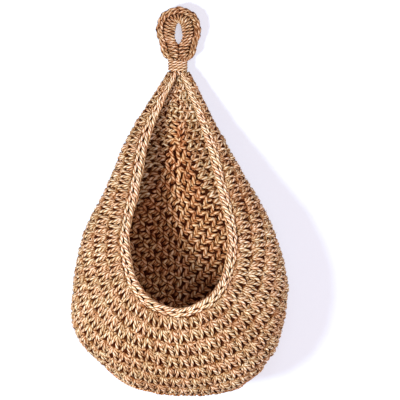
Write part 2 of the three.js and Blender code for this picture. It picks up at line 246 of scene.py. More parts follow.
def edging_width(rib):
    return EDGING_WIDTH * follow(EDGING_SHARES, rib)


def course_height(rib):
    room = (length_of(rib) - edging_width(rib)) / WALL_COURSES
    return np.minimum(COURSE_HEIGHT * follow(COURSE_SHARES, rib), room)


class WallRow:
    """Places stitches along a course beside the mouth, where v is 0 on the mouth's side and 1 on the other.

    Without a course it is the row of the mouth's edging.
    """

    def __init__(self, course=None):
        self.course = course
        middle = fabric(rib_at, self.distance(rib_at, 0.5), np.zeros_like(rib_at), 1)
        self.run = run_along(middle)
        self.length = 2 * self.run[-1]

    def distance(self, rib, v):
        if self.course is None:
            return edging_width(rib) * v
        return edging_width(rib) + (self.course + v) * course_height(rib)

    def rib(self, s):
        half = self.length / 2
        return np.interp(half - np.abs(s - half), self.run, rib_at)

    def place(self, s, v, lift):
        s = np.clip(s, 0, self.length)
        rib = self.rib(s)
        side = np.where(s < self.length / 2, -1.0, 1.0)
        distance = np.clip(self.distance(rib, v), 0, length_of(rib))
        return fabric(rib, distance, lift * follow(THICKNESS_SHARES, rib), side)

    def fullness(self, s):
        """Share of its full thickness that the twine has; it thins at the neck."""
        shares, least = (EDGING_SHARES, 0.3) if self.course is None else (COURSE_SHARES, 0.5)
        rib = self.rib(np.clip(s, 0, self.length))
        return np.clip(least + (1 - least) * follow(shares, rib), least, 1)


# The back panel's courses are counted from the seam in the middle of the underside, and on up the spine
seam = edging_width(rib_at) + WALL_COURSES * course_height(rib_at)
chevron = np.radians(follow(CHEVRON_DEGREES, rib_at))
spine_rise = (spine_z[:-1] - spine_z[1:]) * np.cos((chevron[:-1] + chevron[1:]) / 2)
count_spine = rib_length[-1] - seam[-1] + np.concatenate([np.cumsum(spine_rise[::-1])[::-1], [0]])
count_slope = np.sin(chevron - panel_slope)
count_seam = count_spine - (rib_length - seam) * count_slope
tip = int(np.argmax(count_spine - count_seam > CLEARANCE))
PANEL_COURSE = count_spine[tip] / PANEL_COURSES


class PanelRow:
    """Places stitches along a course of the back panel, where v is 0 on its upper side and 1 on its lower.

    It keeps a grid: columns from the spine to the seam, and levels from the course's lower side up.
    """

    COLUMNS = 60
    LEVELS = 9
    OVERLAP = 0.15
    FINE_STEPS = 240
    LEAST_COUNT = 0.05
    TIP_MARGIN = 0.5

    def __init__(self, course):
        self.course = course
        self.point = np.empty((self.LEVELS, self.COLUMNS + 1, 3))
        self.out = np.empty((self.LEVELS, self.COLUMNS + 1, 3))
        columns = np.linspace(0, 1, self.COLUMNS + 1)
        levels = np.linspace(-self.OVERLAP, 1 + self.OVERLAP, self.LEVELS)
        highest = count_spine[tip] - self.TIP_MARGIN
        for j, level in enumerate(levels):
            count = np.clip((course + level) * PANEL_COURSE, self.LEAST_COUNT, highest)
            start = LAST_RIB if count < count_spine[-1] else self.rib_where(count_spine, count)
            rib = np.linspace(start, self.rib_where(count_seam, count), self.FINE_STEPS + 1)
            run = run_along(sample(grid, rib, self.share(rib, count, level)))
            even = np.interp(columns * run[-1], run, rib)
            share = self.share(even, count, level)
            self.point[j] = sample(grid, even, share)
            self.out[j] = sample(outward, even, share)
            if j == self.LEVELS // 2:
                self.half = run[-1]
        self.point[:, 0, 0] = 0
        self.length = 2 * self.half

    def share(self, rib, count, level):
        """Share of the ribs' length at a count; the lower side of the first course follows the seam."""
        if self.course == 0:
            below = np.minimum(np.interp(rib, rib_at, count_seam), 0)
            count = count + np.clip(1 - level, 0, 1) * below
        top = np.interp(rib, rib_at, count_spine)
        return 1 - (top - count) / np.interp(rib, rib_at, count_slope) / length_of(rib)

    @staticmethod
    def rib_where(count, wanted):
        """Rib number at which a falling count passes a value."""
        above = np.nonzero(count > wanted)[0]
        i = min(above[-1], len(count) - 2) if len(above) else 0
        share = (count[i] - wanted) / max(count[i] - count[i + 1], 1e-6)
        return rib_at[i] + min(max(share, 0), 1) * (rib_at[1] - rib_at[0])

    def place(self, s, v, lift):
        side = np.where(s < self.half, -1.0, 1.0)
        column = np.clip(np.abs(s - self.half) / self.half, 0, 1)
        level = 1 - v
        x = np.clip(column * self.COLUMNS, 0, self.COLUMNS - 1e-6)
        y = (level + self.OVERLAP) / (1 + 2 * self.OVERLAP) * (self.LEVELS - 1)
        y = np.clip(y, 0, self.LEVELS - 1 - 1e-6)
        i, j = y.astype(int), x.astype(int)
        u, w = (y - i)[..., None], (x - j)[..., None]

        def between(table):
            return ((table[i, j] * (1 - w) + table[i, j + 1] * w) * (1 - u)
                    + (table[i + 1, j] * (1 - w) + table[i + 1, j + 1] * w) * u)

        out = between(self.out)
        out /= np.linalg.norm(out, axis=-1, keepdims=True)
        point = between(self.point) + out * lift[..., None]
        point[..., 0] *= side
        return lean(point)

    def fullness(self, s):
        return np.ones_like(s)


# One stitch of each strand: (along the row in stitches, across the course, lift in millimetres)
OUTER_LEGS = [(0.00, 1.04, -1.0), (0.09, 0.95, 0.9), (0.20, 0.72, 2.3), (0.33, 0.38, 2.8),
              (0.43, 0.13, 2.1), (0.50, -0.03, 0.2), (0.57, 0.13, 1.9), (0.67, 0.38, 2.7),
              (0.80, 0.72, 2.4), (0.91, 0.95, 1.0)]
OUTER_FILL = [(0.00, 0.60, 1.0), (0.14, 0.26, 1.9), (0.32, 0.02, 1.4), (0.50, -0.08, 0.4),
              (0.68, 0.02, 1.4), (0.86, 0.26, 1.9)]
OUTER_HEAD = [(0.00, 0.06, 1.5), (0.25, 0.01, 0.9), (0.50, -0.06, 0.4), (0.75, 0.01, 0.9)]
INNER_LEGS = [(0.00, -0.02, 1.4), (0.10, 0.07, -0.6), (0.22, 0.30, -2.2), (0.34, 0.62, -2.6),
              (0.44, 0.86, -1.6), (0.50, 1.00, 0.6), (0.56, 0.86, -1.6), (0.66, 0.62, -2.6),
              (0.78, 0.30, -2.2), (0.90, 0.07, -0.6)]
INNER_FILL = [(u, v, -lift) for u, v, lift in OUTER_FILL]
INNER_HEAD = [(0.00, 0.05, -0.8), (0.25, 0.00, -1.0), (0.50, -0.04, -0.5), (0.75, 0.00, -1.0)]
# A course's strands: (stitch, radius in millimetres, share of painted light, how fully they thin at the neck)
OUTSIDE = [(OUTER_LEGS, 1.72, 1, 1), (OUTER_FILL, 1.45, 0.9, 1), (OUTER_HEAD, 1.35, 0.9, 1)]
INSIDE = [(INNER_LEGS, 2.15, 1, 0.5), (INNER_FILL, 1.8, 0.9, 0.5), (INNER_HEAD, 1.5, 0.85, 0.5)]
# The plump legs that the back panel's inner face shows, with along counted away from the spine
PANEL_LEGS = [
    [(0.10, 1.06, 1.2), (0.18, 1.00, -1.2), (0.34, 0.92, -2.6), (0.56, 0.82, -2.8), (0.76, 0.72, -1.4),
     (0.86, 0.66, 1.2)],
    [(0.04, 0.04, 1.2), (0.12, 0.12, -1.2), (0.28, 0.28, -2.6), (0.50, 0.48, -2.9), (0.72, 0.66, -1.6),
     (0.84, 0.76, 1.2)],
    [(0.46, -0.04, 1.0), (0.56, 0.04, -0.8), (0.70, 0.14, -1.7), (0.86, 0.27, -1.7), (0.98, 0.38, -0.6),
     (1.06, 0.44, 1.0)],
]
# How far stitches stray: (along in stitches, across in courses, in depth in millimetres, in slant)
STRAND_STRAY = np.array([0.04, 0.03, 0.25, 0.06])
LEG_STRAY = np.array([0.05, 0.04, 0.25, 0.05])
UNEVEN_TWINE = 0.05
# Stitches, strands and stray fibres of the courses, in millimetres
STITCH = 10.3
PANEL_STITCH = 8.8
PANEL_LEG_RADIUS = 2.1
BACKING_RADIUS = 2.1
BACKING_SPACING = 3.2
BACKING_STEP = 4
BACKING_OVERLAP = 0.10
CROSSING_RADIUS = 2.2
CROSSING_ASIDE = 1.6
STRAND_STEPS = 2
LEG_STEPS = 3
HAIR_RADII = np.array([0.16, 0.14, 0.11, 0.06])
HAIRS_PER_STITCH = 0.8
HAIR_REACH = 2.2
HAIR_RISE = 1.3
HAIR_LEAST_RISE = 0.4
WALL_HAIR_LIFT = 4.0
PANEL_HAIR_LIFT = -3.6
# Painted shade: twine is dark out to DARK_DEPTH from the fabric's middle, fully lit LIT_RISE further out
DARK_DEPTH = 0.1
LIT_RISE = 1.5


def smooth_noise(count, spacing):
    """Random values along a line that go evenly from one to the next, a new one every so many points."""
    knots = chance.normal(0, 1, count // spacing + 3)
    return np.interp(np.arange(count) / spacing, np.arange(len(knots)), knots)


def stitch_line(row, pitch, control, radius, light, steps, thinning=1):
    """A strand from control points of (along in stitches, across, lift, change of thickness)."""
    line = smooth_line(np.array(control), steps)
    s = line[:, 0] * pitch
    points = row.place(s, line[:, 1], line[:, 2])
    uneven = 1 + UNEVEN_TWINE * line[:, 3] + UNEVEN_TWINE * smooth_noise(len(s), steps * 5)
    thick = radius * row.fullness(s) ** thinning * uneven
    # Painted shade on strands that lie deep in the fabric
    lit = np.clip((np.abs(line[:, 2]) - DARK_DEPTH) / LIT_RISE, 0, 1)
    return points * MM, thick * MM, light * lit


def strand_lines(row, stitches, strands):
    """Strands that run through every stitch of a course, with each stitch a little out of place."""
    pitch = row.length / stitches
    sway = chance.normal(0, 1, (stitches + 2, 5))
    lines = []
    for strand, radius, light, thinning in strands:
        control = []
        for i in range(stitches):
            along, across, deeper, tilt = sway[i + 1, :4] * STRAND_STRAY
            for u, v, lift in strand:
                control.append((i + u + along + tilt * (v - 0.5), v + across,
                                lift + deeper * np.sign(lift), sway[i + 1, 4]))
        control.append((stitches, strand[0][1], strand[0][2], 0))
        lines.append(stitch_line(row, pitch, control, radius, light, STRAND_STEPS, thinning))
    return lines


def leg_lines(row, stitches):
    """The plump legs on the back panel's inner face, slanting away from the spine on both sides."""
    pitch = row.length / stitches
    lines = []
    for i in range(stitches):
        away = 1 if (i + 0.5) * pitch > row.half else -1
        for leg in PANEL_LEGS:
            sway = chance.normal(0, 1, 5)
            along, across, deeper, tilt = sway[:4] * LEG_STRAY
            control = [(i + 0.5 + away * (u - 0.5) + along, v - across - tilt * (u - 0.5),
                        lift + deeper * (lift < 0), sway[4]) for u, v, lift in leg]
            lines.append(stitch_line(row, pitch, control, PANEL_LEG_RADIUS, 1, LEG_STEPS))
    return lines


def backing_lines(row, height):
    """Strands in painted shade along the fabric's middle, so that nothing shows through between stitches."""
    count = int(math.ceil(height / BACKING_SPACING))
    s = np.linspace(0, row.length, max(int(row.length / BACKING_STEP), 3))
    lines = []
    for k in range(count):
        wave = smooth_noise(len(s), 3)
        v = -BACKING_OVERLAP + (1 + 2 * BACKING_OVERLAP) * (k + 0.5) / count + 0.02 * wave
        points = row.place(s, v, 0.2 * wave)
        lines.append((points * MM, BACKING_RADIUS * row.fullness(s) * MM, np.zeros(len(s))))
    return lines


def crossing_lines(row):
    """Two short strands in painted shade across a course, either side of the spine where its halves meet."""
    v = np.linspace(-0.1, 1.1, 5)
    lines = []
    for aside in (-CROSSING_ASIDE, CROSSING_ASIDE):
        points = row.place(np.full(5, row.half + aside), v, np.full(5, 0.4))
        lines.append((points * MM, np.full(5, CROSSING_RADIUS * MM), np.zeros(5)))
    return lines


def hair_lines(row, stitches, lift):
    """Short stray fibres that stand off the twine."""
    t = np.linspace(0, 1, len(HAIR_RADII))
    lines = []
    for _ in range(int(stitches * HAIRS_PER_STITCH)):
        s = chance.uniform(0, row.length)
        v = chance.uniform(0, 1)
        reach = chance.normal(0, HAIR_REACH)
        rise = abs(chance.normal(0, HAIR_RISE)) + HAIR_LEAST_RISE
        climb = chance.normal(0, 0.2)
        bend = chance.normal(0, 0.8)
        off = np.sign(lift) * rise * (t + 0.4 * bend * t * (1 - t))
        points = row.place(s + reach * t, v + climb * t + 0.05 * bend * t * t, lift * 0.75 + off)
        lines.append((points * MM, HAIR_RADII * MM, np.ones(len(t))))
    return lines


def wall_lines(row):
    """A wall course: strands on both faces, its backing and its stray fibres."""
    stitches = max(int(round(row.length / STITCH)), 1)
    lines = strand_lines(row, stitches, OUTSIDE + INSIDE)
    lines += backing_lines(row, COURSE_HEIGHT)
    return lines + hair_lines(row, stitches, WALL_HAIR_LIFT)


def panel_lines(row):
    """A course of the back panel: strands outside, plump legs inside, its backing and its stray fibres."""
    stitches = max(int(round(row.length / PANEL_STITCH)), 1)
    lines = strand_lines(row, stitches, OUTSIDE)
    lines += leg_lines(row, stitches)
    lines += backing_lines(row, PANEL_COURSE)
    lines += crossing_lines(row)
    return lines + hair_lines(row, stitches, PANEL_HAIR_LIFT)


# The back panel's tip, in millimetres; one of its legs is measured from the spine, and they go down in turn
TIP_LEG = [(-0.8, 1.0, -6.5), (0.4, -2.0, -5.6), (2.4, -2.9, -3.8), (4.6, -2.6, -2.0), (6.4, -1.4, -0.9),
           (7.4, 0.8, -0.4)]
TIP_LEGS = 8
TIP_LEG_RISE = 7
TIP_LEG_PITCH = 3.2
TIP_LEG_RADIUS = 1.85
TIP_LEG_STRAY = 0.3
TIP_BACKING_HALF = 9
TIP_BACKING_PLACES = (-5.4, -1.8, 1.8, 5.4)


def tip_lines():
    """Upright strands in painted shade behind the panel's tip, and legs in front slanting to each side in
    turn.
    """
    z = spine_z[tip] + np.linspace(-TIP_BACKING_HALF, TIP_BACKING_HALF, 6)
    lines = []
    for x in TIP_BACKING_PLACES:
        strand = lean(np.stack([np.full(6, x), np.full(6, BACK_MIDDLE), z], 1))
        lines.append((strand * MM, np.full(6, CROSSING_RADIUS * MM), np.zeros(6)))
    for i in range(TIP_LEGS):
        side = 1 if i % 2 else -1
        place = (0, BACK_MIDDLE, spine_z[tip] + TIP_LEG_RISE - TIP_LEG_PITCH * i)
        leg = np.array(TIP_LEG) * (side, 1, 1) + place
        leg = smooth_line(leg + chance.normal(0, TIP_LEG_STRAY, leg.shape), 3)
        lines.append((lean(leg) * MM, np.full(len(leg), TIP_LEG_RADIUS * MM), np.ones(len(leg))))
    return lines


# One leg of a chain stitch: (along in stitches, share of the half width, share of the lift)
CHAIN_LEG = [(-0.30, 0.10, -0.6), (-0.12, 0.20, 0.3), (0.15, 0.42, 0.95), (0.50, 0.70, 1.0),
             (0.85, 0.97, 0.85), (1.08, 1.08, 0.2), (1.24, 0.95, -0.7)]
# How far the legs stray: along in stitches, and shares of their width, lift and thickness
CHAIN_STRAY = np.array([0.04, 0.06, 0.12, 0.06])
CHAIN_STEPS = 4


def chain_lines(row, stitch, half_width, lift, radius):
    """Chain stitches along a row, each of two legs that part from the chain's middle."""
    count = max(int(round(row.length / stitch)), 1)
    pitch = row.length / count
    margin = 0.02 * pitch
    leg = smooth_line(np.array(CHAIN_LEG), CHAIN_STEPS)
    taper = np.clip(1.08 - 0.35 * np.abs(leg[:, 0] - 0.5) ** 2, 0.7, 1.1)
    lines = []
    for i in range(count):
        for side in (-1, 1):
            along, wider, higher, thicker = chance.normal(0, 1, 4) * CHAIN_STRAY
            s = (i + leg[:, 0] + along) * pitch
            inside = (s > margin) & (s < row.length - margin)
            if inside.sum() < 4:
                continue
            across = side * half_width * leg[:, 1] * (1 + wider)
            height = lift * leg[:, 2] * (1 + higher)
            thick = radius * (1 + thicker) * row.fullness(s) * taper
            points = row.chain_place(s[inside], across[inside], height[inside])
            # Painted shade: the parts of a leg that dip into the chain are darker
            light = np.clip(0.45 + leg[inside, 2], 0.1, 1)
            lines.append((points * MM, thick[inside] * MM, light))
    return lines


# The mouth's edging in millimetres, and the strands under its chain: (across, lift, radius, share of painted
# light)
EDGING_STITCH = 11.5
EDGING_CHAIN_HALF = 3.1
EDGING_CHAIN_LIFT = 1.9
EDGING_CHAIN_RADIUS = 1.55
EDGING_CHAIN_PLACE = 0.44
EDGING_STEP = 2.0
EDGING_STRANDS = [(0.95, 0.5, 1.25, 0.9), (0.62, -1.1, 1.9, 0.0), (0.30, -1.1, 1.9, 0.0),
                  (0.05, -1.0, 1.5, 0.6)]


class EdgingRow(WallRow):
    """The row of the mouth's edging, with a chain along it."""

    def chain_place(self, s, across, lift):
        return self.place(s, EDGING_CHAIN_PLACE + across / EDGING_WIDTH, lift)


def edging_lines():
    """The mouth's edging: a chain in front, and strands beneath it and along both its sides."""
    row = EdgingRow()
    lines = chain_lines(row, EDGING_STITCH, EDGING_CHAIN_HALF, EDGING_CHAIN_LIFT, EDGING_CHAIN_RADIUS)
    s = np.arange(0, row.length, EDGING_STEP)
    # Strands with a smaller share of light are painted in shade
    for v, lift, radius, light in EDGING_STRANDS:
        wave = smooth_noise(len(s), 5)
        points = row.place(s, v + 0.04 * wave, lift + 0.2 * wave)
        lines.append((points * MM, radius * row.fullness(s) * MM, np.full(len(s), light)))
    return lines


# The gathered neck and its binding, in millimetres; the neck's rings are (share of its size, strands)
WRAP_WIDTH = 20.0
WRAP_TWINE = 2.9
WRAP_TURNS = 4.3
WRAP_SHIFT = 0.8
WRAP_SLACK = 0.15
WRAP_WAVER = 0.16
WRAP_STEPS = 36
NECK_INSET = 2.2
NECK_RADIUS = 1.5
NECK_RINGS = ((0.25, 4), (0.75, 11))
NECK_SPREAD = 1.25
NECK_BELOW_TOP = 0.5
NECK_BELOW_WRAP = 3
NECK_POINTS = 9


def neck_lines():
    """Upright strands that fill the neck and spread a little below the binding."""
    z = np.linspace(-WRAP_DROP - NECK_BELOW_TOP, -WRAP_DROP - WRAP_HEIGHT - NECK_BELOW_WRAP, NECK_POINTS)
    spread = np.interp(z, [z[-1], z[0]], [NECK_SPREAD, 1.0])
    lines = []
    for ring_share, count in NECK_RINGS:
        for i in range(count):
            angle = 2 * math.pi * i / count + ring_share
            x = (WRAP_WIDTH / 2 - NECK_INSET) * ring_share * math.cos(angle)
            y = (WRAP_DEPTH / 2 - NECK_INSET) * ring_share * math.sin(angle)
            points = np.stack([x * spread, HINGE_Y + y * spread, z], 1)
            lines.append((points * MM, np.full(NECK_POINTS, NECK_RADIUS) * MM))
    return lines


def binding_lines():
    """The binding: one twine wound round the neck from its foot to its top."""
    turn = np.linspace(0, WRAP_TURNS, int(WRAP_TURNS * WRAP_STEPS) + 1)
    slack = WRAP_SLACK * smooth_noise(len(turn), 14)
    waver = WRAP_WAVER * smooth_noise(len(turn), 17)
    half_width = WRAP_WIDTH / 2 - WRAP_TWINE / 2 + slack
    half_depth = WRAP_DEPTH / 2 - WRAP_TWINE / 2 + slack
    foot = -WRAP_DROP - WRAP_HEIGHT + WRAP_TWINE / 2
    points = np.stack([half_width * np.sin(2 * np.pi * turn) - WRAP_SHIFT,
                       HINGE_Y + half_depth * np.cos(2 * np.pi * turn),
                       foot + (WRAP_HEIGHT - WRAP_TWINE) * turn / WRAP_TURNS + waver], 1)
    radius = WRAP_TWINE / 2 * (1 + 0.05 * smooth_noise(len(turn), 9))
    return [(points * MM, radius * MM)]


# The loop is a band between the eye's edge and the outer edge. Its stations go from 0 at the right leg's foot
# over the crown at 6 to 12 at the left leg's foot, and the tables hold millimetres at stations 0 to 6
LOOP_END = 12
EYE_X = [0.0, 0.0, 1.94, 3.6, 3.1, 2.09, 0]
EYE_Z = [HINGE_Z, -23.0, -20.2, -15.0, -7.8, -2.3, 0]
RIM_X = [15.9, 17.9, 20.0, 21.6, 22.35, 17.0, 0]
RIM_Z = [HINGE_Z, -25.9, -17.3, -12.7, -5.1, 8.6, 15.2]
# Past its ends the band goes on down into the neck and narrows
LEG_STATIONS = 1.4
LEG_DROP = 6
LEG_NARROWING = 0.50
BAND_POINTS = 600


def loop_edges(station):
    """The eye's edge and the outer edge at stations."""
    station = np.clip(station, 0, LOOP_END)
    t = np.minimum(station, LOOP_END - station)
    side = np.where(station > LOOP_END / 2, -1.0, 1.0)
    eye = np.stack([follow(EYE_X, t, -1) * side, follow(EYE_Z, t)], -1)
    rim = np.stack([follow(RIM_X, t, -1) * side, follow(RIM_Z, t)], -1)
    return eye, rim


def loop_width(station):
    eye, rim = loop_edges(station)
    return np.linalg.norm(rim - eye, axis=-1)


def loop_point(station, across, lift):
    """Points of the band, where across is 0 at the eye and 1 outside, and lift is towards the back."""
    eye, rim = loop_edges(station)
    flat = eye + (rim - eye) * across[..., None]
    past = np.maximum(0, -station) + np.maximum(0, station - LOOP_END)
    narrowing = 1 - LEG_NARROWING * np.clip(past, 0, 1) ** 1.3
    return np.stack([flat[..., 0] * narrowing, HINGE_Y + lift, flat[..., 1] - past * LEG_DROP], -1)


class BandRow:
    """Places twine along the loop at a share of its width; across and lift are in millimetres."""

    def __init__(self, middle):
        self.middle = middle
        self.stations = np.linspace(-LEG_STATIONS, LOOP_END + LEG_STATIONS, BAND_POINTS)
        level = np.zeros_like(self.stations)
        self.run = run_along(loop_point(self.stations, np.full_like(self.stations, middle), level))
        self.length = self.run[-1]

    def station(self, s):
        return np.interp(s, self.run, self.stations)

    def chain_place(self, s, across, lift):
        station = self.station(s)
        width = loop_width(station)
        squeeze = np.clip(width / 15.0, 0.45, 1.0)
        return loop_point(station, self.middle + across * squeeze / width, -lift * squeeze)

    def fullness(self, s):
        return np.clip(loop_width(self.station(s)) / 14.0, 0.62, 1.0)


# The outer braid in millimetres, and the strands in painted shade inside it: (across, lift)
BRAID_PLACE = 0.82
BRAID_STITCH = 7.4
BRAID_HALF = 2.1
BRAID_LIFT = 2.0
BRAID_RADIUS = 1.58
BRAID_STEP = 1.2
BRAID_CORE = ((1.4, 0.3), (-1.3, -0.3), (0.0, 0.0), (-3.0, 0.0))
BRAID_CORE_RADIUS = 1.6
BRAID_CORE_LIGHT = 0.08


def braid_lines():
    """The outer braid: a chain on its front, one on its back and strands in painted shade inside."""
    row = BandRow(BRAID_PLACE)
    lines = chain_lines(row, BRAID_STITCH, BRAID_HALF, BRAID_LIFT, BRAID_RADIUS)
    lines += chain_lines(row, BRAID_STITCH, BRAID_HALF, -BRAID_LIFT, BRAID_RADIUS)
    s = np.arange(0, row.length, BRAID_STEP)
    for across, lift in BRAID_CORE:
        points = row.chain_place(s, np.full_like(s, across), np.full_like(s, lift))
        light = np.full(len(s), BRAID_CORE_LIGHT)
        lines.append((points * MM, BRAID_CORE_RADIUS * row.fullness(s) * MM, light))
    return lines


# The chain round the eye, in millimetres
EYE_PLACE = 0.10
EYE_STEP = 0.7
EYE_TURN = 5.2
EYE_TWIST_RADIUS = 0.75
EYE_RADIUS = 0.9


def eye_lines():
    """The chain round the eye: two strands twisted round each other."""
    row = BandRow(EYE_PLACE)
    s = np.arange(0, row.length, EYE_STEP)
    lines = []
    for k in range(2):
        t = 2 * np.pi * s / EYE_TURN + k * np.pi
        points = row.chain_place(s, EYE_TWIST_RADIUS * np.sin(t), EYE_TWIST_RADIUS * np.cos(t))
        lines.append((points * MM, EYE_RADIUS * row.fullness(s) * MM))
    return lines


# The upright stitches, in millimetres and shares of the band's width; the dark strands inside them are
# (share, lift), and another one, in painted shade, closes the slit below the eye
POST_PLACE = 0.42
POST_PITCH = 3.3
POST_START = 4.5
POST_STEPS = 16
POST_SLANT = 1.7
POST_MIDDLE = 0.32
POST_REACH = 0.265
POST_LIFT = 2.3
POST_RADIUS = 1.48
POST_CORE = ((0.30, 0.0), (0.42, 0.4), (0.54, 0.0))
POST_CORE_STEP = 1.5
SLIT_TOP = -21.5
SLIT_FOOT = -36
SLIT_POINTS = 8
SLIT_RADIUS = 1.3


def post_lines():
    """The upright stitches: one twine taken round the band again and again, slanting like a fan."""
    row = BandRow(POST_PLACE)
    turns = (row.length - 2 * POST_START) / POST_PITCH
    t = np.linspace(0, turns, int(turns * POST_STEPS))
    s = POST_START + t * POST_PITCH
    wave = np.cos(2 * np.pi * t)
    depth = np.sin(2 * np.pi * t)
    slant = POST_SLANT * wave * np.cos(np.pi * row.station(s) / LOOP_END)
    across = POST_MIDDLE + POST_REACH * np.sign(wave) * np.abs(wave) ** 0.8
    lift = POST_LIFT * np.sign(depth) * np.abs(depth) ** 0.6
    points = loop_point(row.station(s + slant), across, -lift)
    lines = [(points * MM, POST_RADIUS * MM * (1 + 0.06 * smooth_noise(len(t), 11)))]

    # A strand in painted shade closes the slit below the eye
    z = np.linspace(SLIT_TOP, SLIT_FOOT, SLIT_POINTS)
    slit = np.stack([np.zeros(SLIT_POINTS), np.full(SLIT_POINTS, HINGE_Y), z], 1)
    lines.append((slit * MM, np.full(SLIT_POINTS, SLIT_RADIUS) * MM, np.zeros(SLIT_POINTS)))

    s = np.arange(0, row.length, POST_CORE_STEP)
    station = row.station(s)
    for share, height in POST_CORE:
        points = loop_point(station, np.full_like(s, share), np.full_like(s, height))
        radius = np.clip(0.5 + 0.12 * np.interp(station, [0, 3], [1, 9]), 0.5, 1.6)
        lines.append((points * MM, radius * MM))
    return lines


# Twine is made from lines of (points, radii, shares of painted light) by a tree of geometry nodes
TWINE_SIDES = 8


def make_twine_tree():
    """Turns each line into a round strand that has the line's own radius at each point."""
    tree = bpy.data.node_groups.new("Twine", "GeometryNodeTree")
    for name, kind in (("Geometry", "Geometry"), ("Sides", "Int"), ("Material", "Material")):
        tree.interface.new_socket(name, in_out="INPUT", socket_type="NodeSocket" + kind)
    tree.interface.new_socket("Geometry", in_out="OUTPUT", socket_type="NodeSocketGeometry")
    new, link = tree.nodes.new, tree.links.new

    def store(name, kind, geometry, value):
        node = new("GeometryNodeStoreNamedAttribute")
        node.data_type = kind
        node.inputs["Name"].default_value = name
        link(geometry, node.inputs["Geometry"])
        link(value, node.inputs["Value"])
        return node.outputs["Geometry"]

    start = new("NodeGroupInput")
    curve = new("GeometryNodeMeshToCurve")
    link(start.outputs["Geometry"], curve.inputs["Mesh"])
    length = new("GeometryNodeSplineParameter").outputs["Length"]
    circle = new("GeometryNodeCurvePrimitiveCircle")
    circle.inputs["Radius"].default_value = 1.0
    link(start.outputs["Sides"], circle.inputs["Resolution"])
    position = new("GeometryNodeInputPosition").outputs["Position"]
    radius = new("GeometryNodeInputNamedAttribute")
    radius.inputs["Name"].default_value = "twine_radius"
    sweep = new("GeometryNodeCurveToMesh")
    sweep.inputs["Fill Caps"].default_value = True
    link(store("run", "FLOAT", curve.outputs["Curve"], length), sweep.inputs["Curve"])
    link(store("ring", "FLOAT_VECTOR", circle.outputs["Curve"], position), sweep.inputs["Profile Curve"])
    link(radius.outputs["Attribute"], sweep.inputs["Scale"])
    smooth = new("GeometryNodeSetShadeSmooth")
    link(sweep.outputs["Mesh"], smooth.inputs["Geometry"])
    realize = new("GeometryNodeRealizeInstances")
    link(smooth.outputs["Geometry"], realize.inputs["Geometry"])
    material = new("GeometryNodeSetMaterial")
    link(realize.outputs["Geometry"], material.inputs["Geometry"])
    link(start.outputs["Material"], material.inputs["Material"])
    link(material.outputs["Geometry"], new("NodeGroupOutput").inputs["Geometry"])
    return tree


twine_tree = make_twine_tree()


def twine(name, lines, material):
    """One piece of twine from its lines; their shares of light paint shade, and a line without them is fully
    lit.
    """
    points = np.concatenate([line[0] for line in lines])
    radii = np.concatenate([line[1] for line in lines])
    lit = np.concatenate([line[2] if len(line) > 2 else np.ones(len(line[0])) for line in lines])
    starts = np.cumsum([0] + [len(line[0]) for line in lines])
    edges = np.concatenate([np.stack([np.arange(a, b - 1), np.arange(a + 1, b)], 1)
                            for a, b in zip(starts[:-1], starts[1:])])
    strand = np.concatenate([np.full(len(line[0]), chance.random()) for line in lines])
    mesh = bpy.data.meshes.new(name + "_lines")
    mesh.from_pydata(points.tolist(), edges.tolist(), [])
    for attribute, values in (("twine_radius", radii), ("strand", strand), ("lit", lit)):
        data = mesh.attributes.new(attribute, "FLOAT", "POINT").data
        data.foreach_set("value", values.astype(np.float32))
    source = bpy.data.objects.new(name + "_lines", mesh)
    bpy.context.scene.collection.objects.link(source)
    modifier = source.modifiers.new("Twine", "NODES")
    modifier.node_group = twine_tree
    sockets = [item for item in twine_tree.interface.items_tree if item.in_out == "INPUT"]
    identifiers = {socket.name: socket.identifier for socket in sockets}
    modifier[identifiers["Sides"]] = TWINE_SIDES
    modifier[identifiers["Material"]] = material
    done = source.evaluated_get(bpy.context.evaluated_depsgraph_get())
    result = bpy.data.objects.new(name, bpy.data.meshes.new_from_object(done))
    result.data.name = name
    bpy.data.objects.remove(source)
    bpy.context.scene.collection.objects.link(result)
    return result


class Nodes:
    """Adds nodes to a material's or the world's tree and joins them."""

    def __init__(self, tree):
        self.new = tree.nodes.new
        self.link = tree.links.new

    def feed(self, socket, value):
        """Set a socket to a number or a colour, or join another node's output to it."""
        if isinstance(value, bpy.types.NodeSocket):
            self.link(value, socket)
        elif isinstance(value, tuple):
            socket.default_value = (*value, 1)
        else:
            socket.default_value = value

    def attribute(self, name, output="Fac"):
        node = self.new("ShaderNodeAttribute")
        node.attribute_name = name
        return node.outputs[output]

    def maths(self, operation, *values, clamp=False):
        node = self.new("ShaderNodeMath")
        node.operation = operation
        node.use_clamp = clamp
        for socket, value in zip(node.inputs, values):
            self.feed(socket, value)
        return node.outputs[0]

    def mix(self, blend, share, first, second):
        node = self.new("ShaderNodeMix")
        node.data_type = "RGBA"
        node.blend_type = blend
        self.feed(node.inputs[0], share)
        self.feed(node.inputs[6], first)
        self.feed(node.inputs[7], second)
        return node.outputs[2]

    def ramp(self, value, colours):
        node = self.new("ShaderNodeValToRGB")
        self.link(value, node.inputs["Fac"])
        stops = node.color_ramp.elements
        for position, colour in colours:
            stops.new(position).color = (*colour, 1)
        stops.remove(stops[0])
        stops.remove(stops[len(stops) - 1])
        return node.outputs["Color"]

    def noise(self, vector, scale, detail=0.0, roughness=0.6):
        node = self.new("ShaderNodeTexNoise")
        node.inputs["Scale"].default_value = scale
        node.inputs["Detail"].default_value = detail
        node.inputs["Roughness"].default_value = roughness
        self.link(vector, node.inputs["Vector"])
        return node.outputs["Fac"]


# Jute, in metres: its plies go once round the twine in TWIST; creases for painted shade are sought within
# CREASE_REACH
PLIES = 3
TWIST = 0.014
CREASE_REACH = 0.004
TONE_PLACES = (0.12, 0.40, 0.62, 0.88)
RUDDY = (1.0, 0.91, 0.90)
STRAW = (0.98, 1.0, 0.97)
